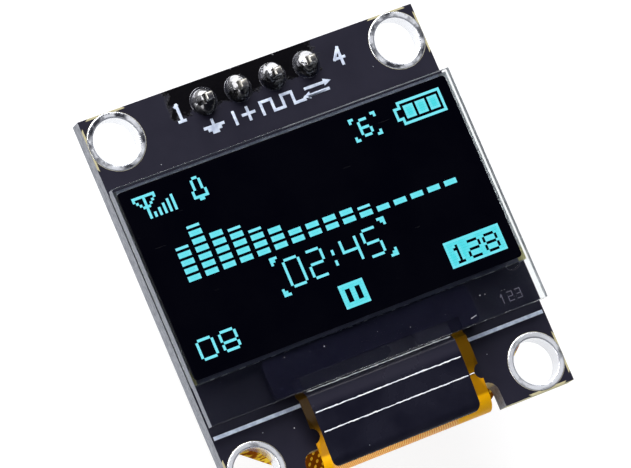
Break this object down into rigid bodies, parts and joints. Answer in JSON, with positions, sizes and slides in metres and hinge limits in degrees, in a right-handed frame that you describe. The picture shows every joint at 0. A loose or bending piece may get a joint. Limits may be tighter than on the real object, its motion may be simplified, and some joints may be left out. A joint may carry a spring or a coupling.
{
  "type": "small oled display module",
  "caption": "Small glass display panel taped to a near-square circuit board, its ribbon folded round the lower edge, with corner holes and a pin header behind.",
  "frame": {"origin": "middle of the four mounting holes, on the board's rear face", "axes": "+X to the right of the screen, +Y up the board towards the header, +Z out of the screen"},
  "size_m": [0.025, 0.027, 0.0114],
  "materials": {
    "solder_mask": "dark satin solder mask, woven glass and resin at the cut edges",
    "tinned_copper": "tinned copper, slightly rounded by the solder",
    "white_print": "pale screen print",
    "foam": "black double-sided foam tape",
    "glass": "polished faces, cut edges frosted",
    "cover_glass": "thin rear glass, cut edges frosted",
    "drying_sheet": "white moisture getter",
    "seal_glue": "cured edge glue",
    "thin_films": "dark thin films on glass",
    "polarizer": "dark glossy film",
    "lit_pixels": "glowing pale cyan",
    "silicon": "bare silicon",
    "resin": "black cast resin",
    "amber_film": "amber film with copper tracks under it",
    "black_cover": "black cover film with sharp creases",
    "solder": "bright solder with dark flux round it",
    "black_plastic": "moulded black plastic",
    "pin_metal": "tin-plated square pins",
    "capacitor_body": "fired tan ceramic",
    "resistor_body": "black glazed face on white ceramic",
    "regulator_body": "moulded black epoxy"
  },
  "bodies": {
    "root": {"board": "solder_mask", "hole_lining_1": "tinned_copper", "hole_lining_2": "tinned_copper", "hole_lining_3": "tinned_copper", "hole_lining_4": "tinned_copper", "front_print": "white_print", "rear_print": "white_print", "foam_tape": "foam", "cover_glass": "cover_glass", "drying_sheet": "drying_sheet", "seal_rim": "seal_glue", "light_layers": "thin_films", "front_glass": "glass", "polarizer": "polarizer", "lit_pixels": "lit_pixels", "driver_chip": "silicon", "bond_resin": "resin", "ribbon": "amber_film", "ribbon_cover": "black_cover", "ribbon_joints": "solder", "header_base": "black_plastic", "header_pads": "tinned_copper", "header_pin_1": "pin_metal", "header_pin_2": "pin_metal", "header_pin_3": "pin_metal", "header_pin_4": "pin_metal", "pin_solder_1": "solder", "pin_solder_2": "solder", "pin_solder_3": "solder", "pin_solder_4": "solder", "part_pads": "tinned_copper", "part_solder": "solder", "part_ends": "tinned_copper", "capacitors": "capacitor_body", "resistors": "resistor_body", "regulator": "regulator_body", "regulator_legs": "tinned_copper"}
  },
  "joints": []
}
